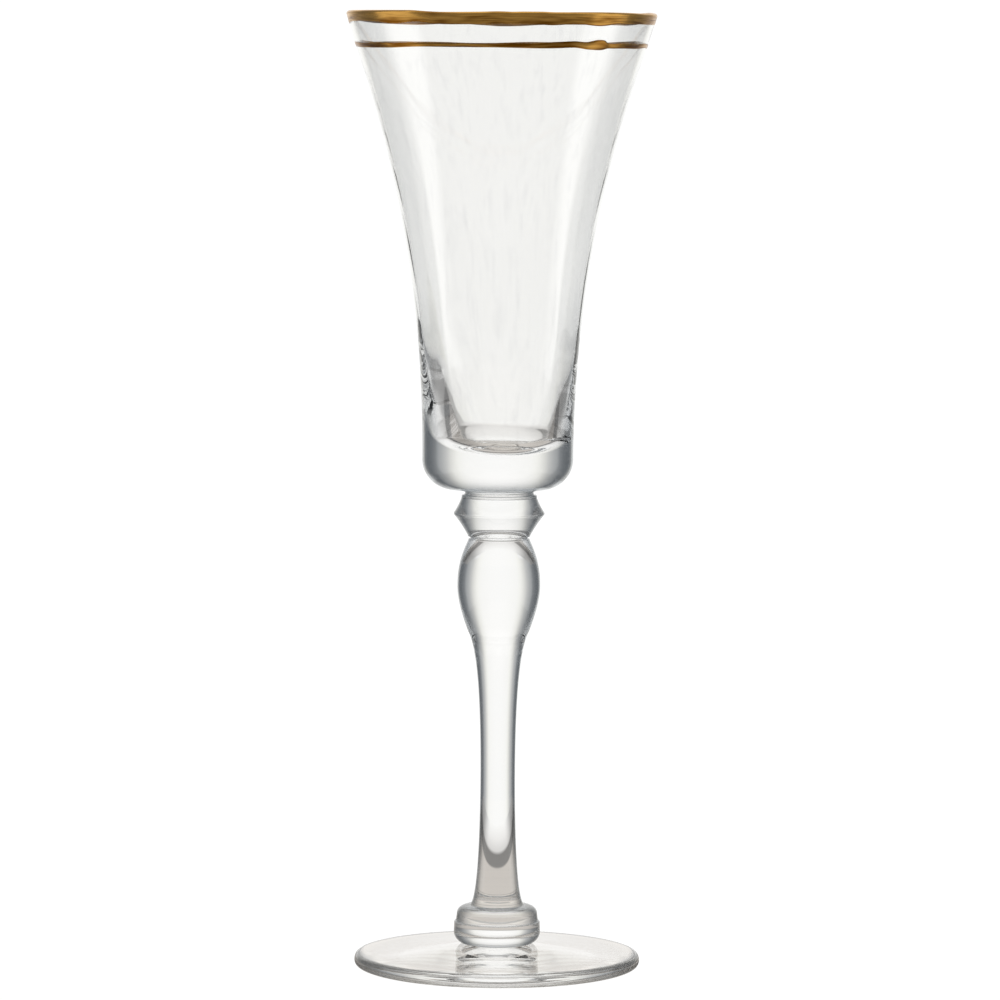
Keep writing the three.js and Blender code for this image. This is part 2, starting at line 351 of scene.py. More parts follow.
def grain(
    tree: bpy.types.NodeTree,
    place: bpy.types.NodeSocket,
    size: tuple[float, float, float],
    detail: float,
    roughness: float,
) -> bpy.types.NodeSocket:
    """Noise of a given size along each axis.

    Args:
        tree: the node tree.
        place: the coordinates that it is read at.
        size: the size of its waves along each axis, in the coordinates' own unit.
        detail: how many finer layers it has.
        roughness: how strong those are.

    Returns:
        The noise, from 0 to 1.
    """
    scale = tuple(1 / length for length in size)
    mapping = add_node(tree, "ShaderNodeMapping", {"Vector": place, "Scale": scale})
    made = add_node(
        tree,
        "ShaderNodeTexNoise",
        {
            "Vector": mapping.outputs["Vector"],
            "Scale": 1.0,
            "Detail": detail,
            "Roughness": roughness,
        },
    )
    return made.outputs["Fac"]


def blend(
    tree: bpy.types.NodeTree,
    share: bpy.types.NodeSocket,
    first: bpy.types.NodeSocket,
    colour: tuple[float, float, float, float],
) -> bpy.types.NodeSocket:
    """A share of the way from a colour socket to a fixed colour."""
    inputs = {0: share, 6: first, 7: colour}
    return add_node(tree, "ShaderNodeMix", inputs, data_type="RGBA").outputs[2]


def raised(
    tree: bpy.types.NodeTree,
    height: bpy.types.NodeSocket,
    depth: float,
    over: bpy.types.NodeSocket | None = None,
) -> bpy.types.NodeSocket:
    """A bump.

    Args:
        tree: the node tree.
        height: its height, from 0 to 1.
        depth: what a height of 1 stands for, in millimetres.
        over: the bump that it is laid over, if any.

    Returns:
        The normal.
    """
    inputs = {"Strength": 1.0, "Distance": depth * MM, "Height": height}
    if over is not None:
        inputs["Normal"] = over
    return add_node(tree, "ShaderNodeBump", inputs).outputs["Normal"]


def ramp(
    tree: bpy.types.NodeTree, value: bpy.types.NodeSocket, stops: list[tuple[float, tuple]]
) -> bpy.types.NodeSocket:
    """A colour ramp.

    Args:
        tree: the node tree.
        value: what reads it.
        stops: the place and the linear colour of each stop.

    Returns:
        The colour.
    """
    made = add_node(tree, "ShaderNodeValToRGB", {"Fac": value})
    elements = made.color_ramp.elements
    elements.remove(elements[-1])
    for number, (place, colour) in enumerate(stops):
        stop = elements[0] if number == 0 else elements.new(place)
        stop.position = place
        stop.color = (*colour[:3], 1.0)
    return made.outputs["Color"]


def new_material(name: str) -> tuple[bpy.types.Material, bpy.types.NodeTree, bpy.types.Node]:
    """An empty node material.

    Args:
        name: its name.

    Returns:
        The material, its tree and its output node.
    """
    material = bpy.data.materials.new(name)
    material.use_nodes = True
    tree = material.node_tree
    tree.nodes.clear()
    return material, tree, add_node(tree, "ShaderNodeOutputMaterial")


@dataclass(frozen=True)
class BlownGlass:
    """Clear soda-lime crystal, worked hot and fire-polished.

    The eye gets clean, bright refraction with very faint ripples where the tools and the blowing
    left the surface not quite true. Its colour is painted greyer where the glass is seen at a
    slant: painted shade, standing in for the dark surroundings seen through its edges.
    """

    name: str
    ripple: float = 9.0  # width of a ripple, in millimetres
    stretch: float = 3.0  # how much longer it is along the glass than round it
    depth: float = 0.012  # its height, in millimetres
    tint: str = "FFFFFE"
    # The colour of the painted edge shade, where the glass is seen most at a slant.
    edge_shade: str = "6C7277"
    cords: str = ""  # colour of faint upright cords in the glass; "" leaves them out
    cord_size: Point = (2.6, 70.0)  # their width and length, in millimetres
    cord_share: Point = (0.55, 0.75)  # the noise at which a cord begins and is full
    # The painted edge shade can be kept low on a piece, fading out above a height.
    shade_up_to: float = 0.0  # height in mm where the greying starts to fade; 0 keeps it all over
    shade_fade: float = 40.0
    ior: float = 1.52
    roughness: float = 0.0
    # How much of the painted edge shade shows at each slant.
    shade_slants: tuple[Point, ...] = (
        (0.16, 0.0),
        (0.27, 0.16),
        (0.32, 0.29),
        (0.38, 0.45),
        (0.44, 0.64),
        (0.53, 0.83),
        (0.64, 1.0),
    )

    def make(self) -> bpy.types.Material:
        """Builds the material."""
        material, tree, output = new_material(self.name)
        place = add_node(tree, "ShaderNodeTexCoord").outputs["Object"]
        width = self.ripple * MM
        ripples = grain(tree, place, (width, width, width * self.stretch), 1.0, 0.4)
        colour = self.paint_edge_shade(tree)
        # Above this height the painted edge shade fades out to the clear tint.
        if self.shade_up_to:
            low = self.shade_up_to * MM
            share = span(tree, split(tree, place)[2], low, low + self.shade_fade * MM)
            colour = blend(tree, share, colour, linear(self.tint))
        if self.cords:
            width, length = self.cord_size[0] * MM, self.cord_size[1] * MM
            cord = grain(tree, place, (width, width, length), 2.0, 0.6)
            share = span(tree, cord, *self.cord_share)
            colour = blend(tree, share, colour, linear(self.cords))
        glass = add_node(
            tree,
            "ShaderNodeBsdfPrincipled",
            {
                "Base Color": colour,
                "Metallic": 0.0,
                "Roughness": self.roughness,
                "IOR": self.ior,
                "Transmission Weight": 1.0,
                "Normal": raised(tree, ripples, self.depth),
            },
        )
        tree.links.new(glass.outputs["BSDF"], output.inputs["Surface"])
        return material

    def paint_edge_shade(self, tree: bpy.types.NodeTree) -> bpy.types.NodeSocket:
        """Paints the glass greyer where it is seen at a slant: painted shade, standing in for the
        dark surroundings seen through its edges.

        Args:
            tree: the material's tree.

        Returns:
            The glass's colour.
        """
        slant = add_node(tree, "ShaderNodeLayerWeight", {"Blend": 0.5}).outputs["Facing"]
        clear, grey = np.array(linear(self.tint)), np.array(linear(self.edge_shade))
        stops = [(place, tuple(clear + (grey - clear) * share)) for place, share in self.shade_slants]
        return ramp(tree, slant, stops)


@dataclass(frozen=True)
class FusedJoint:
    """The inside of a hot joint, where two gathers have become one glass.

    Light crosses it unbent, so the eye sees nothing there.
    """

    name: str = "fused_glass_joint"

    def make(self) -> bpy.types.Material:
        """Builds the material."""
        material, tree, output = new_material(self.name)
        clear = add_node(tree, "ShaderNodeBsdfTransparent", {"Color": (1, 1, 1, 1)})
        tree.links.new(clear.outputs["BSDF"], output.inputs["Surface"])
        return material


@dataclass(frozen=True)
class FiredGold:
    """Liquid gold, brushed on while the glass turned, then fired.

    The eye gets a glossy warm metal, brown in its shade, with long soft streaks round the glass
    and slow swells where the brush carried more. Its colour is painted lighter near the lip, a
    painted highlight, and darker at the band's foot, painted shade.
    """

    lip_height: float  # height of the lip; the gold's colour is painted lighter towards it, a painted highlight
    name: str = "fired_liquid_gold"
    # The first colour is gold lying thick and also the painted highlight near the lip; the second,
    # gold lying thin and also the painted shade at the band's foot.
    thick_and_lit: str = "D2A052"
    thin: str = "7A4A08"
    streak_length: float = 16.0  # along the brush's way, in millimetres
    streak_width: float = 0.5  # across it; real bristle marks are finer and would not show
    streak_depth: float = 0.012
    swell_length: float = 7.0
    swell_width: float = 1.5
    swell_depth: float = 0.16
    roughness: Point = (0.14, 0.3)
    colour_places: Point = (0.36, 0.62)  # the noise at which the gold takes its thin colour, and its thick one
    band_light_by_height: Point = (-0.06, 0.11)  # what is added to it at the foot of the band, painted shade, and at its top, a painted highlight
    band_light_depths: Point = (3.1, 0.6)  # how far below the lip those two are

    def make(self) -> bpy.types.Material:
        """Builds the material."""
        material, tree, output = new_material(self.name)
        way = add_node(tree, "ShaderNodeUVMap", uv_map=BRUSH_MAP).outputs["UV"]
        streaks = grain(tree, way, (self.streak_length, self.streak_width, 1), 2.0, 0.5)
        swells = grain(tree, way, (self.swell_length, self.swell_width, 1), 1.0, 0.5)
        both = add_node(tree, "ShaderNodeMix", {0: 0.5, 2: streaks, 3: swells}, data_type="FLOAT")
        # Painted light by height: the tone is lowered at the band's foot, painted shade, and raised
        # near the lip, a painted highlight.
        place = add_node(tree, "ShaderNodeTexCoord").outputs["Object"]
        low, high = ((self.lip_height - depth) * MM for depth in self.band_light_depths)
        rise = span(tree, split(tree, place)[2], low, high, self.band_light_by_height)
        tone_and_painted_light = calculate(tree, "ADD", both.outputs[0], rise)
        thin, thick_and_lit = self.colour_places
        stops = [(thin, linear(self.thin)), (thick_and_lit, linear(self.thick_and_lit))]
        glossy, dull = self.roughness
        swelling = raised(tree, swells, self.swell_depth)
        gold = add_node(
            tree,
            "ShaderNodeBsdfPrincipled",
            {
                "Base Color": ramp(tree, tone_and_painted_light, stops),
                "Metallic": 1.0,
                "Roughness": span(tree, streaks, 0.3, 0.7, (dull, glossy)),
                "Normal": raised(tree, streaks, self.streak_depth, swelling),
            },
        )
        tree.links.new(gold.outputs["BSDF"], output.inputs["Surface"])
        return material


# ---- The frame's own sizes ----


@dataclass(frozen=True)
class Stack:
    """Where the pieces meet and how wide they are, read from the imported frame, in millimetres."""

    foot_radius: float
    foot_top: float
    collar_radius: float
    collar_top: float
    bulb_radius: float
    stem_top: float
    knop_bottom: float
    ridge_radius: float
    knop_top: float
    bowl_bottom: float
    rim_radius: float
    lip_top: float

    @classmethod
    def from_frame(cls) -> "Stack":
        """Reads the sizes."""

        def radius(node: str) -> float:
            """How far a node reaches from the axis."""
            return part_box(node)[1].x / MM

        def top(node: str) -> float:
            """A node's highest point."""
            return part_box(node)[1].z / MM

        return cls(
            foot_radius=radius("foot"),
            foot_top=top("foot"),
            collar_radius=radius("foot_collar"),
            collar_top=top("foot_collar"),
            bulb_radius=radius("baluster_stem"),
            stem_top=top("baluster_stem"),
            knop_bottom=top("lower_wafer"),
            ridge_radius=radius("ridged_knop"),
            knop_top=top("ridged_knop"),
            bowl_bottom=top("upper_wafer"),
            rim_radius=radius("bowl"),
            lip_top=top("bowl"),
        )


@dataclass(frozen=True)
class Joints:
    """The radii of the hot joints between the gathers, in millimetres."""

    foot: float = 9.0
    collar: float = 7.4
    stem: float = 8.15
    lower_wafer: float = 8.3
    knop: float = 10.0
    bowl: float = 10.6


def finish_glass(
    piece: bpy.types.Object,
    node: str,
    glass: bpy.types.Material,
    joint: bpy.types.Material,
    seats: list[tuple[float, float]],
) -> None:
    """Shades a gather, gives it its glass and its joints, and puts it in its CAD node's place.

    Args:
        piece: the gather.
        node: the CAD node that it stands for.
        glass: its material.
        joint: the material inside its hot joints.
        seats: the height and radius of each joint, in millimetres.
    """
    smooth(piece)
    piece.data.materials.clear()
    piece.data.materials.append(glass)
    piece.data.materials.append(joint)
    close = 0.01 * MM
    for face in piece.data.polygons:
        if abs(face.normal.z) < 0.999:
            continue
        reach = math.hypot(face.center.x, face.center.y)
        for height, radius in seats:
            if abs(face.center.z - height * MM) < close and reach < radius * MM:
                face.material_index = 1
    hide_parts(node)
    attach(piece, "root")
    LOG.info("%s: %d faces", piece.name, len(piece.data.polygons))


# ---- Foot and stem ----


@dataclass
class Foot:
    """The disc foot: rounded edge, gently rising top, hollow underside."""

    stack: Stack
    joints: Joints
    edge_thickness: float = 3.8
    contact_inset: float = 3.2
    contact_width: float = 3.2
    hollow: float = 1.3
    hub_radius: float = 15.0
    hub_height: float = 5.5
    hub_fillet: float = 2.2
    rim_width: float = 2.0

    def build(
        self, glass: bpy.types.Material, joint: bpy.types.Material, rim: bpy.types.Material
    ) -> bpy.types.Object:
        """Builds and dresses the foot.

        Args:
            glass: the glass.
            joint: the inside of its hot joint.
            rim: the glass of the fire-polished edge, with a darker painted edge shade.

        Returns:
            The piece.
        """
        outer = self.stack.foot_radius
        contact_outer = outer - self.contact_inset
        contact_inner = contact_outer - self.contact_width
        half = self.edge_thickness / 2
        round_top = (outer - self.contact_inset / 2, self.edge_thickness)
        outline = Outline(0, self.hollow).curve(
            (contact_inner * 0.3, self.hollow - 0.15),
            (contact_inner * 0.8, 0.2),
            (contact_inner, 0),
            steps=24,
        )
        outline.line(contact_outer, 0, steps=3)
        outline.curve((outer - 1.2, 0), (outer, 0.5), (outer, half), steps=10)
        outline.curve((outer, half + 1.3), (round_top[0] + 0.9, round_top[1]), round_top, steps=10)
        outline.curve(
            ((outer + self.hub_radius) / 2, self.edge_thickness + 0.4),
            (self.hub_radius, self.hub_height),
            steps=24,
        )
        outline.curve(
            (self.joints.foot + self.hub_fillet, self.stack.foot_top - 0.25),
            (self.joints.foot, self.stack.foot_top),
            steps=8,
        )
        outline.line(0, self.stack.foot_top, steps=4)
        piece = turn("glass_foot", outline.points, Facets.FOOT.value)
        finish_glass(piece, "foot", glass, joint, [(self.stack.foot_top, self.joints.foot)])
        # Faces near the edge take the rim glass, whose darker painted edge shade draws the edge.
        piece.data.materials.append(rim)
        for face in piece.data.polygons:
            if math.hypot(face.center.x, face.center.y) / MM > outer - self.rim_width:
                face.material_index = 2
        return piece


@dataclass
class Collar:
    """The stepped button between the foot and the stem."""

    stack: Stack
    joints: Joints
    undercut: float = 2.9
    step_height: float = 5.8
    step: float = 0.6
    taper: float = 0.2
    shoulder: float = 2.4

    def build(self, glass: bpy.types.Material, joint: bpy.types.Material) -> bpy.types.Object:
        """Builds and dresses the collar.

        Args:
            glass: the glass.
            joint: the inside of its hot joints.

        Returns:
            The piece.
        """
        base, top = self.stack.foot_top, self.stack.collar_top
        wide = self.stack.collar_radius
        upper = wide - self.step
        shoulder = top - self.shoulder
        step = base + self.step_height
        outline = Outline(0, base).line(self.joints.foot, base, steps=4)
        outline.curve(
            (self.joints.foot + 0.8, base + 0.1),
            (wide, base + self.undercut * 0.45),
            (wide, base + self.undercut),
            steps=14,
        )
        outline.line(wide - self.taper / 2, step, steps=5)
        outline.curve((upper + 0.1, step + 0.1), (upper, step + self.step), steps=5)
        outline.line(upper - self.taper, shoulder, steps=4)
        outline.curve(
            (upper - self.taper, top - self.shoulder * 0.2),
            (self.joints.collar + 1.2, top - 0.1),
            (self.joints.collar, top),
            steps=16,
        )
        outline.line(0, top, steps=4)
        piece = turn("glass_foot_collar", outline.points, Facets.STEM.value)
        seats = [(base, self.joints.foot), (top, self.joints.collar)]
        finish_glass(piece, "foot_collar", glass, joint, seats)
        return piece


@dataclass
class BalusterStem:
    """The solid stem: flared foot, thin waist, bulb under the knop."""

    stack: Stack
    joints: Joints
    waist_radius: float = 4.62
    waist_height: float = 35.0
    bulb_drop: float = 12.3
    shoulder_radius: float = 7.8
    shoulder_drop: float = 12.8
    shoulder_slope: float = 0.437
    bend: float = 2.7
    neck_slope: float = 0.45

    def build(self, glass: bpy.types.Material, joint: bpy.types.Material) -> bpy.types.Object:
        """Builds and dresses the stem.

        Args:
            glass: the glass.
            joint: the inside of its hot joints.

        Returns:
            The piece.
        """
        base, top = self.stack.collar_top, self.stack.stem_top
        waist = base + self.waist_height
        bulb = top - self.bulb_drop
        shoulder = bulb - self.shoulder_drop
        lean = self.shoulder_slope * self.bend
        thin, fat = self.waist_radius, self.stack.bulb_radius
        outline = Outline(0, base).line(self.joints.collar, base, steps=4)
        outline.curve(
            (thin + 0.25, base + 0.25),
            (thin, waist - self.waist_height / 4),
            (thin, waist),
            steps=40,
        )
        outline.curve(
            (thin, waist + (shoulder - waist) * 0.75),
            (self.shoulder_radius - lean, shoulder - self.bend),
            (self.shoulder_radius, shoulder),
            steps=36,
        )
        outline.curve(
            (self.shoulder_radius + lean, shoulder + self.bend),
            (fat, bulb - self.shoulder_drop / 3),
            (fat, bulb),
            steps=20,
        )
        outline.curve(
            (fat, bulb + self.bulb_drop / 2),
            (self.joints.stem + self.neck_slope * self.bend, top - self.bend),
            (self.joints.stem, top),
            steps=20,
        )
        outline.line(0, top, steps=4)
        piece = turn("glass_baluster_stem", outline.points, Facets.STEM.value)
        seats = [(base, self.joints.collar), (top, self.joints.stem)]
        finish_glass(piece, "baluster_stem", glass, joint, seats)
        return piece


@dataclass
class KnopGroup:
    """The ridged knop and the thin wafers under and over it."""

    stack: Stack
    joints: Joints
    lower_wafer_bulge: float = 0.15
    groove: float = 0.45
    ridge_height: float = 5.75
    ridge_softness: float = 0.5
    flank_hollow: float = 0.25
    upper_wafer_edge: float = 10.0
    upper_wafer_shoulder: float = 0.75
    upper_wafer_groove: float = 8.9

    def build(self, glass: bpy.types.Material, joint: bpy.types.Material) -> list[bpy.types.Object]:
        """Builds and dresses the three pieces.

        Args:
            glass: the glass.
            joint: the inside of their hot joints.

        Returns:
            The pieces, from the bottom up.
        """
        return [
            self.build_lower_wafer(glass, joint),
            self.build_knop(glass, joint),
            self.build_upper_wafer(glass, joint),
        ]

    def build_lower_wafer(
        self, glass: bpy.types.Material, joint: bpy.types.Material
    ) -> bpy.types.Object:
        """The disc under the knop, its edge a little proud of the stem.

        Args:
            glass: the glass.
            joint: the inside of its hot joints.

        Returns:
            The piece.
        """
        low, high = self.stack.stem_top, self.stack.knop_bottom
        edge = self.joints.lower_wafer + self.lower_wafer_bulge
        groove = self.joints.stem - self.groove
        middle = (low + high) / 2
        outline = Outline(0, low).line(self.joints.stem, low, steps=4)
        outline.curve((self.joints.stem + 0.05, middle - 0.3), (groove, middle - 0.22), steps=5)
        outline.curve((groove - 0.12, middle), (groove, middle + 0.22), steps=4)
        outline.curve((edge, middle + 0.3), (self.joints.lower_wafer, high), steps=5)
        outline.line(0, high, steps=4)
        piece = turn("glass_lower_wafer", outline.points, Facets.STEM.value)
        seats = [(low, self.joints.stem), (high, self.joints.lower_wafer)]
        finish_glass(piece, "lower_wafer", glass, joint, seats)
        return piece

    def build_knop(self, glass: bpy.types.Material, joint: bpy.types.Material) -> bpy.types.Object:
        """The double cone with its one sharp ridge.

        Args:
            glass: the glass.
            joint: the inside of its hot joints.

        Returns:
            The piece.
        """
        low, high = self.stack.knop_bottom, self.stack.knop_top
        ridge = low + self.ridge_height
        tip = self.stack.ridge_radius
        soft = self.ridge_softness
        start, end = self.joints.lower_wafer, self.joints.knop
        hollow = self.flank_hollow
        outline = Outline(0, low).line(start, low, steps=4)
        outline.curve(
            ((start + tip) / 2 - hollow, (low + ridge) / 2 + hollow / 2),
            (tip - soft * 0.7, ridge - soft),
            steps=12,
        )
        outline.curve(
            (tip, ridge - soft * 0.2),
            (tip, ridge + soft * 0.2),
            (tip - soft * 0.5, ridge + soft),
            steps=8,
        )
        outline.curve(((end + tip) / 2 - hollow, (high + ridge) / 2), (end, high), steps=12)
        outline.line(0, high, steps=4)
        piece = turn("glass_ridged_knop", outline.points, Facets.STEM.value)
        seats = [(low, start), (high, end)]
        finish_glass(piece, "ridged_knop", glass, joint, seats)
        return piece

    def build_upper_wafer(
        self, glass: bpy.types.Material, joint: bpy.types.Material
    ) -> bpy.types.Object:
        """The waisted disc welded to the bowl.

        Args:
            glass: the glass.
            joint: the inside of its hot joints.

        Returns:
            The piece.
        """
        low, high = self.stack.knop_top, self.stack.bowl_bottom
        edge, groove = self.upper_wafer_edge, self.upper_wafer_groove
        shoulder = low + self.upper_wafer_shoulder
        outline = Outline(0, low).line(self.joints.knop - 0.25, low, steps=4)
        outline.curve((edge + 0.05, low + 0.05), (edge + 0.05, low + 0.4), steps=5)
        outline.curve((edge, shoulder), (edge - 0.5, shoulder + 0.05), steps=6)
        outline.curve(
            (groove, shoulder + 0.1), (groove, high - 0.3), (self.joints.bowl, high), steps=12
        )
        outline.line(0, high, steps=4)
        piece = turn("glass_upper_wafer", outline.points, Facets.STEM.value)
        seats = [(low, self.joints.knop - 0.25), (high, self.joints.bowl)]
        finish_glass(piece, "upper_wafer", glass, joint, seats)
        return piece


# ---- Bowl and gold ----


@dataclass
class Bowl:
    """The blown bowl: solid base, flared wall, fire-polished lip, panels pressed inside."""

    stack: Stack
    joints: Joints
    base_radius: float = 20.03
    corner: float = 8.0
    flare_slope: float = 0.266
    straight_pull: float = 0.546
    flare_pull: float = 0.134
    wall_at_rim: float = 1.3
    wall_in_middle: float = 1.6
    wall_gain: float = 5.7  # how much thicker the wall gets towards the base
    wall_gain_rise: float = 30.0
    wall_gain_power: float = 1.6
    wall_thinning: float = 60.0  # below the lip, where it is at its thickness for the middle
    base_thickness: float = 9.2
    cavity_rise: float = 5.2
    cavity_side_pull: float = 3.0
    cavity_floor_pull: float = 7.5
    panels: int = 12
    panel_share: float = 0.65  # 1 makes the panels quite flat
    panel_softness: float = 0.4
    panel_fade: float = 12.0
    panel_start: float = 34.0  # above the cavity's bottom, where the panels are at full depth
    wall_steps: int = 64
    inner_steps: int = 100
    lean: float = -0.5  # how far the bowl's base sits off the stem's axis
    cavity_drift: float = 1.3  # how far the cavity's bottom sits off the bowl's axis
    drift_start: float = 40.0  # below the lip
    lip_wave_depths: Point = (7.0, 1.0)  # below the lip, where its waves begin and are full

    def wall(
        self, base: Point, middle_radius: float, rim_radius: float, rim_height: float
    ) -> list[Point]:
        """One side of the wall, from its upright foot to its flared lip.

        Args:
            base: where it starts.
            middle_radius: the radius that it is pulled up along.
            rim_radius: its radius at the lip.
            rim_height: its height there.

        Returns:
            Its points, from the bottom up.
        """
        rise = rim_height - base[1]
        pull = self.flare_pull * rise
        outline = Outline(*base).curve(
            (middle_radius, base[1] + self.straight_pull * rise),
            (rim_radius - self.flare_slope * pull, rim_height - pull),
            (rim_radius, rim_height),
            steps=self.wall_steps,
        )
        return outline.points

    def outer_wall(self) -> list[Point]:
        """The outside of the wall, from the bottom up."""
        lip = self.stack.lip_top - self.wall_at_rim / 2
        base = (self.base_radius, self.stack.bowl_bottom + self.corner)
        return self.wall(base, self.base_radius, self.stack.rim_radius, lip)

    def inner_wall(self) -> list[Point]:
        """The inside of the wall, from the bottom up, before the panels."""
        outer = np.array(self.outer_wall())
        base, lip = self.floor() + self.cavity_rise, outer[-1, 1]
        steps = np.linspace(0, 1, self.inner_steps + 1)
        height = base + (lip - base) * steps**1.3
        thickness = self.wall_at_rim + (self.wall_in_middle - self.wall_at_rim) * smoothstep(
            0, self.wall_thinning, lip - height
        )
        left = np.clip(1 - (height - base) / self.wall_gain_rise, 0, 1)
        thickness += self.wall_gain * left**self.wall_gain_power
        radius = np.interp(height, outer[:, 1], outer[:, 0]) - thickness
        return [(float(r), float(h)) for r, h in zip(radius, height)]

    def floor(self) -> float:
        """Height of the lowest point of the cavity."""
        return self.stack.bowl_bottom + self.base_thickness

    def lip_run(self, steps: int = 14) -> list[Point]:
        """The round lip, from the outer wall's top to the inner wall's, both left out."""
        half = self.wall_at_rim / 2
        centre = (self.stack.rim_radius - half, self.stack.lip_top - half)
        outline = Outline(self.stack.rim_radius, centre[1]).arc(centre, half, 0, 180, steps)
        return outline.points[1:-1]

    def outline(self) -> list[Point]:
        """The whole half section, from the underside's middle to the cavity floor's middle."""
        bottom = self.stack.bowl_bottom
        corner_radius = self.base_radius - self.corner
        under = Outline(0, bottom).line(self.joints.bowl, bottom, steps=4)
        under.line(corner_radius, bottom, steps=2)
        under.arc((corner_radius, bottom + self.corner), self.corner, -90, 0, 24)
        inner = self.inner_wall()
        radius, height = inner[0]
        taper = self.wall_gain * self.wall_gain_power / self.wall_gain_rise
        inside = Outline(radius, height).curve(
            (radius - taper * self.cavity_side_pull, height - self.cavity_side_pull),
            (self.cavity_floor_pull, self.floor()),
            (0, self.floor()),
            steps=36,
        )
        walls = self.outer_wall() + self.lip_run() + inner[::-1]
        return under.points[:-1] + walls + inside.points[1:]

    def panel_shape(self, angle: np.ndarray) -> np.ndarray:
        """How far a panel stands in from a round wall, from 0 at its edges to 1 in its middle.

        Args:
            angle: where, in radians from the middle of the front panel.

        Returns:
            The share of the panels' depth.
        """
        half = math.pi / self.panels
        turns = angle / (2 * half)
        from_middle = (turns - np.round(turns)) * 2 * half
        flat = (1 - math.cos(half) / np.cos(from_middle)) / (1 - math.cos(half))
        wave = (1 + np.cos(self.panels * angle)) / 2
        return (1 - self.panel_softness) * flat + self.panel_softness * wave

    def press_panels(self, piece: bpy.types.Object) -> None:
        """Presses the panels into the inside of the wall, deep above the floor and fading upwards.

        Args:
            piece: the bowl, still round inside.
        """
        rows = places(piece)
        radius, angle, height = polar(rows)
        outer, inner = np.array(self.outer_wall()), np.array(self.inner_wall())
        outside = np.interp(height, outer[:, 1], outer[:, 0])
        within = np.interp(height, inner[:, 1], inner[:, 0])
        floor = self.floor()
        inside = (radius < (outside + within) / 2) & (height > floor - 0.1)
        foot = floor + self.cavity_rise
        fade = np.clip((height - foot) / (self.stack.lip_top - self.panel_fade - foot), 0, 1)
        strength = smoothstep(foot, foot + self.panel_start, height) * (1 - fade)
        flat = radius * (1 - math.cos(math.pi / self.panels))
        depth = flat * self.panel_share * strength * self.panel_shape(angle)
        radius = np.where(inside, np.maximum(radius - depth, 0), radius)
        rows = cartesian(radius, angle, height)
        top = self.stack.lip_top
        rows[:, 0] += self.offset(height)
        rows[:, 2] += self.lip_wave(angle, height)
        start = top - self.drift_start
        drift = self.cavity_drift * np.clip((start - height) / (start - floor), 0, 1) ** 2
        rows[:, 0] += np.where(inside, drift, 0)
        set_places(piece, rows)

    def lip_wave(self, angle: np.ndarray, height: np.ndarray) -> np.ndarray:
        """How far the fire-polished lip stands above or below its plane, fading down the wall."""
        low, high = (self.stack.lip_top - depth for depth in self.lip_wave_depths)
        return LIP_HEIGHT.at(angle) * smoothstep(low, high, height)

    def offset(self, height: np.ndarray) -> np.ndarray:
        """How far the hand-made bowl stands to the right of the stem's axis at each height."""
        bottom, top = self.stack.bowl_bottom, self.stack.lip_top
        return self.lean * np.clip((top - height) / (top - bottom), 0, 1)

    def build(
        self, glass: bpy.types.Material, joint: bpy.types.Material, outside: bpy.types.Material
    ) -> bpy.types.Object:
        """Builds and dresses the bowl.

        Args:
            glass: the glass of the cavity's surface.
            joint: the inside of its hot joint.
            outside: the glass of the outer surface, with painted edge shade low on the bowl.

        Returns:
            The piece.
        """
        piece = turn("glass_bowl", self.outline(), Facets.BOWL.value)
        self.press_panels(piece)
        finish_glass(piece, "bowl", glass, joint, [(self.stack.bowl_bottom, self.joints.bowl)])
        piece.data.materials.append(outside)
        # The outer surface and the underside take the outside glass, with its painted edge shade.
        outer, inner = np.array(self.outer_wall()), np.array(self.inner_wall())
        for face in piece.data.polygons:
            radius, height = math.hypot(face.center.x, face.center.y) / MM, face.center.z / MM
            both = sum(np.interp(height, wall[:, 1], wall[:, 0]) for wall in (outer, inner))
            if face.material_index == 0 and (radius > both / 2 or height < self.floor() - 1):
                face.material_index = 2
        return piece


@dataclass
class Brushwork:
    """How a hand-painted edge wanders round the glass.

    Each row gives an angle from the front, in degrees, and a distance in millimetres. Between the
    last row and the first, round the back, a slow wave takes over.
    """

    rows: tuple[Point, ...]
    back_wave: float = 0.1
    back_level: float = 0.0
    phase: float = 0.0
    back_gap: float = 12.0  # degrees between the rows and the wave
    back_knots: int = 25

    def at(self, angle: np.ndarray) -> np.ndarray:
        """The distance at some angles.

        Args:
            angle: the angles, in radians from the front towards the right.

        Returns:
            The distances, in millimetres.
        """
        turned = np.degrees(angle)
        knots = np.array(self.rows)
        first, last = knots[0], knots[-1]
        back = np.linspace(last[0] + self.back_gap, first[0] + 360 - self.back_gap, self.back_knots)
        lobes = [(7, self.back_wave, self.phase), (11, self.back_wave * 0.6, self.phase * 2 + 40)]
        wave = self.back_level + wander(np.radians(back), lobes)
        places_round = np.concatenate((knots[:, 0], back))
        values = np.concatenate((knots[:, 1], wave))
        around = np.concatenate((places_round - 360, places_round, places_round + 360))
        return self.smooth_through(turned, around, np.tile(values, 3))

    def smooth_through(self, where: np.ndarray, at: np.ndarray, values: np.ndarray) -> np.ndarray:
        """A smooth curve through points, flat where they turn.

        Args:
            where: the places to read.
            at: the points' places, rising.
            values: the points' values.

        Returns:
            The curve's values.
        """
        index = np.clip(np.searchsorted(at, where) - 1, 0, len(at) - 2)
        slopes = np.diff(values) / np.diff(at)
        means = (slopes[:-1] + slopes[1:]) / 2
        turns = np.concatenate(([0], np.where(slopes[:-1] * slopes[1:] > 0, means, 0), [0]))
        gap = at[index + 1] - at[index]
        share = (where - at[index]) / gap
        rise = values[index + 1] - values[index]
        return (
            values[index]
            + rise * share * share * (3 - 2 * share)
            + gap * turns[index] * share * (1 - share) ** 2
            - gap * turns[index + 1] * share * share * (1 - share)
        )


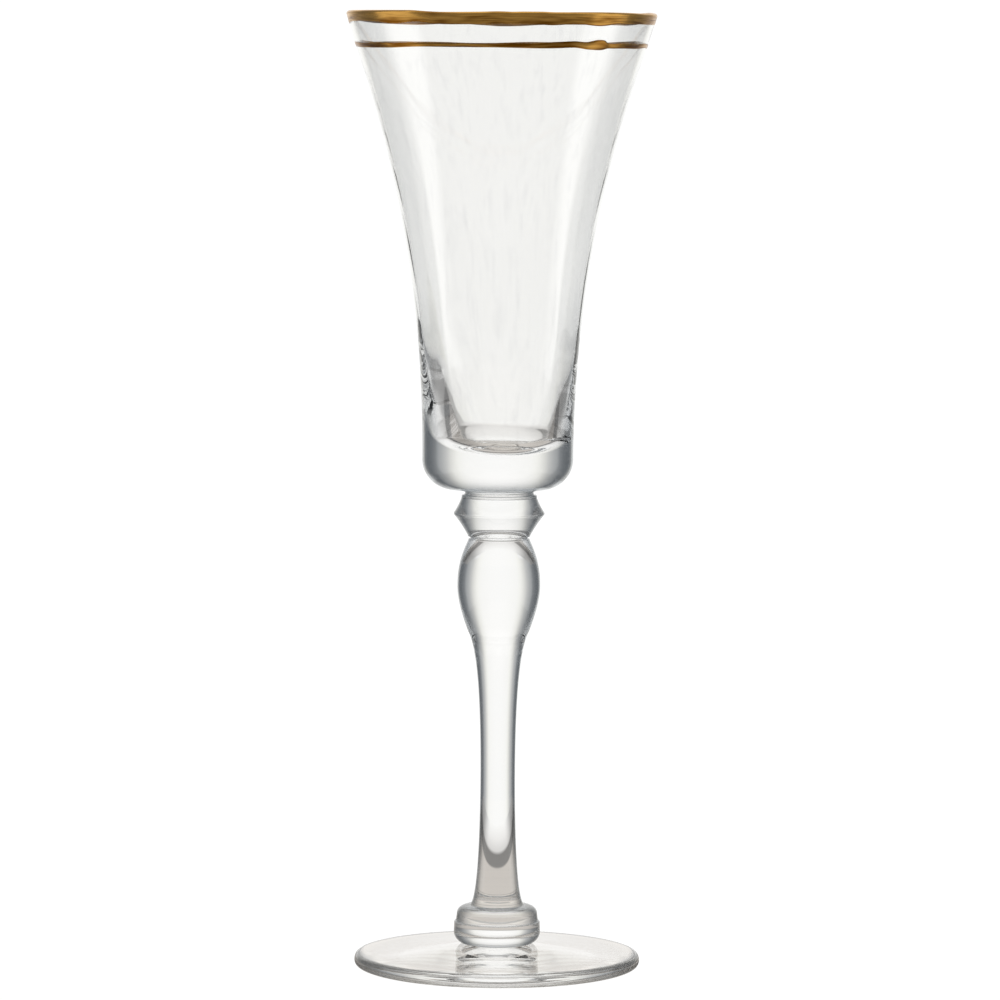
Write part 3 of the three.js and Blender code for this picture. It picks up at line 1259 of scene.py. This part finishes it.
LIP_HEIGHT = Brushwork(
    rows=(
        (-84, 0.34), (-67, 0.36), (-41, 0.33), (-35, 0.3), (-32, 0.17), (-28, 0.0), (-22, -0.13),
        (-16, -0.12), (-8, -0.04), (-1, 0.07), (4, -0.02), (8, 0.05), (14, 0.05), (20, -0.07),
        (39, 0.02), (53, -0.05), (64, -0.16), (84, -0.18),
    ),
    back_wave=0.12,
)
BAND_EDGE = Brushwork(
    rows=(
        (-77, -0.35), (-63, -0.4), (-55, -0.3), (-50, 0.0), (-45, 0.22), (-40, 0.1), (-35, -0.25),
        (-32, -0.38), (-28, -0.25), (-25, -0.05), (-20, 0.08), (-8, 0.05), (0, 0.0), (7, 0.0),
        (14, 0.15), (18, 0.25), (23, 0.1), (28, -0.18), (29.5, -0.15), (33, 0.12), (39, 0.42),
        (43, 0.26), (47, -0.1), (53, -0.22), (64, -0.25), (77, -0.2),
    ),
    back_wave=0.2,
    phase=20,
)
LINE_MIDDLE = Brushwork(
    rows=(
        (-71, -0.15), (-51, -0.16), (-33, 0.06), (-18, -0.02), (-8, 0.0), (0, -0.01), (11, -0.07),
        (23, 0.14), (29, 0.3), (35, 0.0), (40, 0.17), (43, 0.17), (45.5, -0.05), (55, -0.06),
        (67, -0.15),
    ),
    back_wave=0.12,
    phase=65,
)
LINE_WIDTH = Brushwork(
    rows=(
        (-71, 1.17), (-51, 1.23), (-33, 1.07), (-18, 1.0), (-8, 1.07), (0, 1.17), (11, 1.33),
        (20, 1.62), (27, 1.66), (34, 1.8), (37.5, 2.3), (40, 2.6), (43, 2.5), (44.6, 1.9),
        (45.6, 1.22), (55, 1.27), (67, 1.25),
    ),
    back_wave=0.1,
    back_level=1.2,
    phase=10,
)
LINE_RELIEF = Brushwork(
    rows=(
        (-40, 0.0), (0, 0.0), (25, 0.04), (34, 0.08), (38, 0.2), (42.5, 0.26), (44.8, 0.16),
        (45.8, 0.0), (60, 0.0),
    ),
    back_wave=0.0,
)


@dataclass
class Gilding:
    """The gold: a band over the lip and a thin line under it, both painted by hand."""

    bowl: Bowl
    proud: float = 0.07
    sunk: float = 0.05
    band_width: float = 3.1
    band_inside: float = 1.4
    line_width: float = 1.2
    line_drop: float = 8.55

    def skin(self, name: str, run: list[Point], paint: Callable) -> bpy.types.Object:
        """A closed skin along a run of the bowl's section, sunk into the glass and proud of it.

        Args:
            name: the piece's name.
            run: the run, with the glass on its left.
            paint: moves the skin's vertices to where the brush left the gold.

        Returns:
            The piece, with its brush map.
        """
        points = np.array(run)
        way = np.gradient(points, axis=0)
        way /= np.linalg.norm(way, axis=1)[:, None]
        out = np.column_stack((way[:, 1], -way[:, 0]))
        taper = np.ones(len(points))
        taper[[0, -1]] = 0.25
        far, near = points + out * self.proud * taper[:, None], points - out * self.sunk
        loop = [tuple(p) for p in np.vstack((far, near[::-1], far[:1]))]
        piece = turn(name, loop, Facets.BOWL.value)
        self.add_brush_map(piece)
        radius, angle, height = paint(*polar(places(piece)))
        rows = cartesian(radius, angle, height)
        rows[:, 0] += self.bowl.offset(rows[:, 2])
        rows[:, 2] += self.bowl.lip_wave(angle, height)
        set_places(piece, rows)
        return piece

    def add_brush_map(self, piece: bpy.types.Object) -> None:
        """Lays a UV map round the glass, in millimetres, so that the streaks follow the brush.

        Args:
            piece: the skin.
        """
        mesh = piece.data
        layer = mesh.uv_layers.new(name=BRUSH_MAP)
        rows = places(piece)
        radius, angle, height = polar(rows)
        mean = float(radius.mean())
        across = height + (radius - mean)
        for face in mesh.polygons:
            corners = [mesh.loops[i].vertex_index for i in face.loop_indices]
            turns = [float(angle[v]) for v in corners]
            wraps = max(turns) - min(turns) > math.pi
            for loop, v, turned in zip(face.loop_indices, corners, turns):
                unrolled = turned + math.tau if wraps and turned < 0 else turned
                layer.data[loop].uv = (unrolled * mean, float(across[v]))

    def along(self, wall: list[Point], low: float, high: float) -> list[Point]:
        """The run of a wall between two heights, from the bottom up.

        Args:
            wall: the wall's points, from the bottom up.
            low: the lower height.
            high: the upper height.

        Returns:
            The run's points, its ends interpolated.
        """
        rows = np.array(wall)
        heights = np.linspace(low, high, max(6, int((high - low) / 0.25)))
        return [(float(np.interp(h, rows[:, 1], rows[:, 0])), float(h)) for h in heights]

    def follow_wall(self, radius: np.ndarray, height: np.ndarray, moved: np.ndarray) -> np.ndarray:
        """The radii of the gold's points once they have moved up or down the outer wall.

        Args:
            radius: their radii before.
            height: their heights before.
            moved: their heights now.

        Returns:
            Their radii now.
        """
        outer = np.array(self.bowl.outer_wall())
        before = np.interp(height, outer[:, 1], outer[:, 0])
        return radius + np.interp(moved, outer[:, 1], outer[:, 0]) - before

    def paint_band(
        self, radius: np.ndarray, angle: np.ndarray, height: np.ndarray
    ) -> tuple[np.ndarray, np.ndarray, np.ndarray]:
        """Lets the band's lower edge wander on the outside of the bowl.

        Args:
            radius: the skin's distances from the axis, in millimetres.
            angle: its angles, in radians.
            height: its heights, in millimetres.

        Returns:
            The same three, moved.
        """
        top = self.bowl.outer_wall()[-1][1]
        bottom = self.bowl.stack.lip_top - self.band_width
        middle = self.bowl.stack.rim_radius - self.bowl.wall_at_rim / 2
        lowered = np.clip((top - height) / (top - bottom), 0, 1.2)
        outside = radius > middle - (top - height) * self.bowl.flare_slope
        moved = np.where(outside, height - lowered * BAND_EDGE.at(angle), height)
        return np.where(outside, self.follow_wall(radius, height, moved), radius), angle, moved

    def paint_line(
        self, radius: np.ndarray, angle: np.ndarray, height: np.ndarray
    ) -> tuple[np.ndarray, np.ndarray, np.ndarray]:
        """Lets the line wander, thicken and end in a blob where the brush was lifted.

        Args:
            radius: the skin's distances from the axis, in millimetres.
            angle: its angles, in radians.
            height: its heights, in millimetres.

        Returns:
            The same three, moved.
        """
        middle = self.bowl.stack.lip_top - self.line_drop
        spread = LINE_WIDTH.at(angle) / self.line_width
        moved = middle + LINE_MIDDLE.at(angle) + (height - middle) * spread
        radius = self.follow_wall(radius, height, moved)
        outer = np.array(self.bowl.outer_wall())
        surface = np.interp(moved, outer[:, 1], outer[:, 0])
        across = np.clip(np.abs(height - middle) / (self.line_width / 2), 0, 1)
        relief = LINE_RELIEF.at(angle) * (1 - across**2)
        return np.where(radius > surface, radius + relief, radius), angle, moved

    def build(self, gold: bpy.types.Material) -> list[bpy.types.Object]:
        """Paints the band and the line.

        Args:
            gold: the gold.

        Returns:
            The two pieces.
        """
        outer, inner = self.bowl.outer_wall(), self.bowl.inner_wall()
        lip = self.bowl.stack.lip_top
        band_run = self.along(outer, lip - self.band_width, outer[-1][1])
        band_run += self.bowl.lip_run()
        band_run += self.along(inner, lip - self.band_inside, inner[-1][1])[::-1]
        middle = lip - self.line_drop
        half = self.line_width / 2
        line_run = self.along(outer, middle - half, middle + half)
        pieces = []
        for name, node, run, paint in (
            ("gold_rim_band", "rim_gold_band", band_run, self.paint_band),
            ("gold_thin_line", "gold_line", line_run, self.paint_line),
        ):
            piece = self.skin(name, run, paint)
            smooth(piece, 60)
            piece.data.materials.append(gold)
            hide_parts(node)
            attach(piece, "root")
            LOG.info("%s: %d faces", piece.name, len(piece.data.polygons))
            pieces.append(piece)
        return pieces


# ---- Studio ----


@dataclass
class Studio:
    """Plain soft light from a bright backdrop, a pale floor, and the camera.

    The glass shows what it bends into view, so the backdrop fades to grey on both sides: that,
    with the glass's painted edge shade, draws the grey edges of a solid stem. Wide soft windows
    light the other sides.
    """

    floor_size: float = 12.0
    lens: float = 200.5
    sensor: float = 36.0
    camera_distance: float = 1473.0
    camera_height: float = 245.2
    pitch: float = 4.67
    roll: float = 0.32
    # Angles are in degrees. Each pair gives where a zone of light begins and where it is full.
    window: Point = (24.0, 10.0)  # off the sides
    front_light: float = 0.3
    top_light: Point = (50.0, 66.0)  # above the horizon
    low_light: Point = (17.0, 23.0)  # below it
    low_light_level: float = 0.92
    low_light_middle: Point = (38.0, 24.0)  # off the backdrop's middle
    low_light_sides: float = 0.42
    backdrop_white: float = 1.05
    backdrop: tuple[tuple[float, tuple[float, float, float]], ...] = (
        (90, (0.225, 0.24, 0.255)),
        (58, (0.225, 0.24, 0.255)),
        (50, (0.26, 0.275, 0.29)),
        (44, (0.32, 0.335, 0.35)),
        (40, (0.39, 0.405, 0.415)),
        (36, (0.46, 0.47, 0.475)),
        (32, (0.56, 0.565, 0.56)),
        (28, (0.735, 0.735, 0.71)),
        (25, (0.87, 0.87, 0.84)),
        (22, (0.945, 0.945, 0.915)),
        (18, (0.985, 0.985, 0.97)),
        (0, (1.01, 1.01, 1.005)),
    )
    # The boards' sizes are in millimetres. Both lie a hair below the foot.
    floor_drop: float = 0.4
    plinth_drop: float = 0.2
    plinth_half_width: float = 220.0
    plinth_reach: float = 225.0
    plinth_back: float = 117.0
    shade_end: float = 154.0
    plinth_lit: Point = (55.0, 150.0)
    plinth_side_level: float = 0.4
    # The foot's rings of light and shade on the plinth: a radius, and how bright it is there.
    ring_reach: float = 60.0
    rings: tuple[Point, ...] = (
        (0, 0.95), (7, 0.9), (9.5, 0.5), (12.5, 0.55), (15.5, 1.0), (32, 1.0), (35, 1.12),
        (36.8, 1.4), (37.8, 0.5), (40.2, 0.3), (42, 0.5), (47, 1.0),
    )

    def build(self) -> None:
        """Builds the camera, the world and the floor, and sets how light is carried."""
        self.build_camera()
        self.build_world()
        self.build_floor()
        self.build_plinth()
        scene = bpy.context.scene
        scene.view_settings.view_transform = "Standard"
        scene.cycles.max_bounces = 32
        scene.cycles.transmission_bounces = 32
        scene.cycles.glossy_bounces = 16
        scene.cycles.transparent_max_bounces = 32

    def build_camera(self) -> None:
        """Stands the camera in front of the glass, level with its rim and looking a little down."""
        data = bpy.data.cameras.new("camera")
        data.lens = self.lens
        data.sensor_width = self.sensor
        data.clip_end = 50
        camera = bpy.data.objects.new("camera", data)
        bpy.context.scene.collection.objects.link(camera)
        place = Matrix.Translation((0.0002, -self.camera_distance * MM, self.camera_height * MM))
        tilt = Matrix.Rotation(math.radians(90 - self.pitch), 4, "X")
        roll = Matrix.Rotation(math.radians(self.roll), 4, "Z")
        camera.matrix_world = place @ tilt @ roll
        bpy.context.scene.camera = camera

    def build_world(self) -> None:
        """Lights the scene by direction: backdrop, side fade, windows, front fill and top light."""
        world = bpy.data.worlds.new("studio")
        bpy.context.scene.world = world
        world.use_nodes = True
        tree = world.node_tree
        tree.nodes.clear()
        output = add_node(tree, "ShaderNodeOutputWorld")
        place = add_node(tree, "ShaderNodeTexCoord").outputs["Generated"]
        level_way = {0: place, 1: (1, 1, 0)}
        flat = add_node(tree, "ShaderNodeVectorMath", level_way, operation="MULTIPLY").outputs[0]
        way = add_node(tree, "ShaderNodeVectorMath", {0: flat}, operation="NORMALIZE").outputs[0]
        across, back, _ = split(tree, way)
        rise = split(tree, place)[2]
        stops = [(cosine(angle), colour) for angle, colour in self.backdrop]
        fade = ramp(tree, back, stops)
        level = self.window_light(tree, across)
        front = calculate(tree, "MULTIPLY", back, -1.0)
        fill = span(tree, front, 0.05, 0.35, (0.0, self.front_light), soft=True)
        above = span(tree, rise, *map(sine, self.top_light), soft=True)
        for more in (fill, above, self.light_from_below(tree, back, rise)):
            level = calculate(tree, "MAXIMUM", level, more)
        grey = add_node(tree, "ShaderNodeCombineColor", {0: level, 1: level, 2: level})
        whole = add_node(
            tree,
            "ShaderNodeMix",
            {0: 1.0, 6: fade, 7: grey.outputs["Color"]},
            data_type="RGBA",
            blend_type="LIGHTEN",
        )
        direct = add_node(tree, "ShaderNodeLightPath").outputs["Is Camera Ray"]
        shown = blend(tree, direct, whole.outputs[2], (*(self.backdrop_white,) * 3, 1))
        light = add_node(tree, "ShaderNodeBackground", {"Color": shown, "Strength": 1.0})
        tree.links.new(light.outputs["Background"], output.inputs["Surface"])

    def window_light(
        self, tree: bpy.types.NodeTree, across: bpy.types.NodeSocket
    ) -> bpy.types.NodeSocket:
        """The tall soft windows on both sides.

        Args:
            tree: the world's tree.
            across: how far a direction points to the right, from -1 to 1.

        Returns:
            Their brightness.
        """
        side = calculate(tree, "ABSOLUTE", across)
        return span(tree, side, *map(cosine, self.window), soft=True)

    def light_from_below(
        self, tree: bpy.types.NodeTree, back: bpy.types.NodeSocket, rise: bpy.types.NodeSocket
    ) -> bpy.types.NodeSocket:
        """The lit paper under the glass, dimmer to the sides than behind.

        Args:
            tree: the world's tree.
            back: how far a direction points to the back, from -1 to 1.
            rise: how far it points up.

        Returns:
            Its brightness.
        """
        start, end = (-sine(angle) for angle in self.low_light)
        low = span(tree, rise, start, end, (0.0, self.low_light_level), soft=True)
        more = (0.0, 1 - self.low_light_sides)
        middle = span(tree, back, *map(cosine, self.low_light_middle), more, soft=True)
        share = calculate(tree, "ADD", middle, self.low_light_sides)
        return calculate(tree, "MULTIPLY", low, share)

    def build_floor(self) -> None:
        """A pale floor, lit as bright as the backdrop, which only the camera sees directly."""
        deselect_all()
        place = (0, 0, -self.floor_drop * MM)
        bpy.ops.mesh.primitive_plane_add(size=self.floor_size, location=place)
        floor = bpy.context.object
        floor.name = "studio_floor"
        material, tree, output = new_material("lit_white_floor")
        white = {"Color": (1, 1, 1, 1), "Strength": self.backdrop_white}
        glow = add_node(tree, "ShaderNodeEmission", white)
        tree.links.new(glow.outputs[0], output.inputs["Surface"])
        floor.data.materials.append(material)
        for ray in ("diffuse", "glossy", "transmission", "shadow", "volume_scatter"):
            setattr(floor, "visible_" + ray, False)

    def build_plinth(self) -> None:
        """The small warm-white plinth under the glass, seen only through the glass.

        Its back edge lies in shade, and the lit paper behind it starts dim.
        """
        deselect_all()
        bpy.ops.mesh.primitive_plane_add(size=2, location=(0, 0, 0))
        plinth = bpy.context.object
        plinth.name = "studio_plinth"
        bpy.ops.object.mode_set(mode="EDIT")
        bpy.ops.mesh.select_all(action="SELECT")
        reach = self.plinth_reach * MM
        bpy.ops.transform.resize(value=(self.plinth_half_width * MM, reach, 1))
        bpy.ops.transform.translate(value=(0, 0, -self.plinth_drop * MM))
        bpy.ops.object.mode_set(mode="OBJECT")
        plinth.data.materials.append(self.plinth_board())
        plinth.visible_camera = False
        plinth.visible_shadow = False

    def plinth_board(self) -> bpy.types.Material:
        """The plinth's own glow: warm near the glass, a dark back edge, then lit paper."""
        material, tree, output = new_material("warm_white_plinth")
        place = add_node(tree, "ShaderNodeTexCoord").outputs["Object"]
        across, back, _ = split(tree, place)
        edge, shade = self.plinth_back / self.plinth_reach, self.shade_end / self.plinth_reach
        stops = [
            (0.0, (0.62, 0.585, 0.545)),
            (edge - 0.01, (0.60, 0.565, 0.53)),
            (edge + 0.015, (0.23, 0.225, 0.22)),
            (shade - 0.02, (0.22, 0.215, 0.21)),
            (shade + 0.02, (0.70, 0.69, 0.68)),
            (shade + 0.15, (0.88, 0.87, 0.86)),
            (1.0, (1.0, 1.0, 0.99)),
        ]
        tone = ramp(tree, span(tree, back, 0.0, self.plinth_reach * MM), stops)
        lit, dim = (distance * MM for distance in self.plinth_lit)
        side = calculate(tree, "ABSOLUTE", across)
        lit_share = span(tree, side, lit, dim, (1.0, self.plinth_side_level), soft=True)
        strength = calculate(tree, "MULTIPLY", lit_share, self.foot_shadow(tree, place))
        glow = add_node(tree, "ShaderNodeEmission", {"Color": tone, "Strength": strength})
        tree.links.new(glow.outputs[0], output.inputs["Surface"])
        return material

    def foot_shadow(
        self, tree: bpy.types.NodeTree, place: bpy.types.NodeSocket
    ) -> bpy.types.NodeSocket:
        """The rings of light and shade that the foot throws on the plinth.

        A glowing board takes no shadows, so they are laid on it by radius.

        Args:
            tree: the plinth's material tree.
            place: the place on the plinth.

        Returns:
            How bright the plinth is, as a share.
        """
        radius = add_node(tree, "ShaderNodeVectorMath", {0: place}, operation="LENGTH")
        share = span(tree, radius.outputs["Value"], 0.0, self.ring_reach * MM)
        stops = [(where / self.ring_reach, (level,) * 3) for where, level in self.rings]
        return ramp(tree, share, stops)


def main() -> None:
    """Builds the studio and the glass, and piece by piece."""
    logging.basicConfig(level=logging.INFO, format="%(name)s: %(message)s")
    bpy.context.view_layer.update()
    Studio().build()
    stack = Stack.from_frame()
    joints = Joints()
    joint = FusedJoint().make()
    # Each glass paints its own amount of edge shade: strong on the stem and low on the bowl's
    # outside, faint on the foot, darker at its rim, almost none on the bowl's wall.
    tooled = BlownGlass("tooled_clear_glass", ripple=7.0, stretch=1.0, depth=0.004).make()
    blown = BlownGlass(
        "blown_clear_glass",
        ripple=9.0,
        stretch=6.0,
        depth=0.0015,
        tint="FEFEFD",
        edge_shade="F7F7F6",
        cords="F3F3F3",
    ).make()
    # The bowl's outside: the wall's glass with strong painted edge shade below 142 mm, without the
    # cords.
    shaded_outside = BlownGlass(
        "blown_glass_outside_painted_shade",
        ripple=9.0,
        stretch=6.0,
        depth=0.0015,
        tint="FEFEFD",
        shade_up_to=142.0,
    ).make()
    spun = BlownGlass(
        "spun_clear_glass", ripple=12.0, stretch=1.0, depth=0.003, tint="FEFDFB", edge_shade="F2F0ED"
    ).make()
    # The foot's rim glass: the foot's glass with a darker painted edge shade.
    polished = BlownGlass(
        "foot_rim_glass_painted_shade", ripple=12.0, stretch=1.0, depth=0.003, edge_shade="A3A29F"
    ).make()
    Foot(stack, joints).build(spun, joint, polished)
    Collar(stack, joints).build(tooled, joint)
    BalusterStem(stack, joints).build(tooled, joint)
    KnopGroup(stack, joints).build(tooled, joint)
    bowl = Bowl(stack, joints)
    bowl.build(blown, joint, shaded_outside)
    Gilding(bowl).build(FiredGold(stack.lip_top).make())


if __name__ == "__main__":
    main()
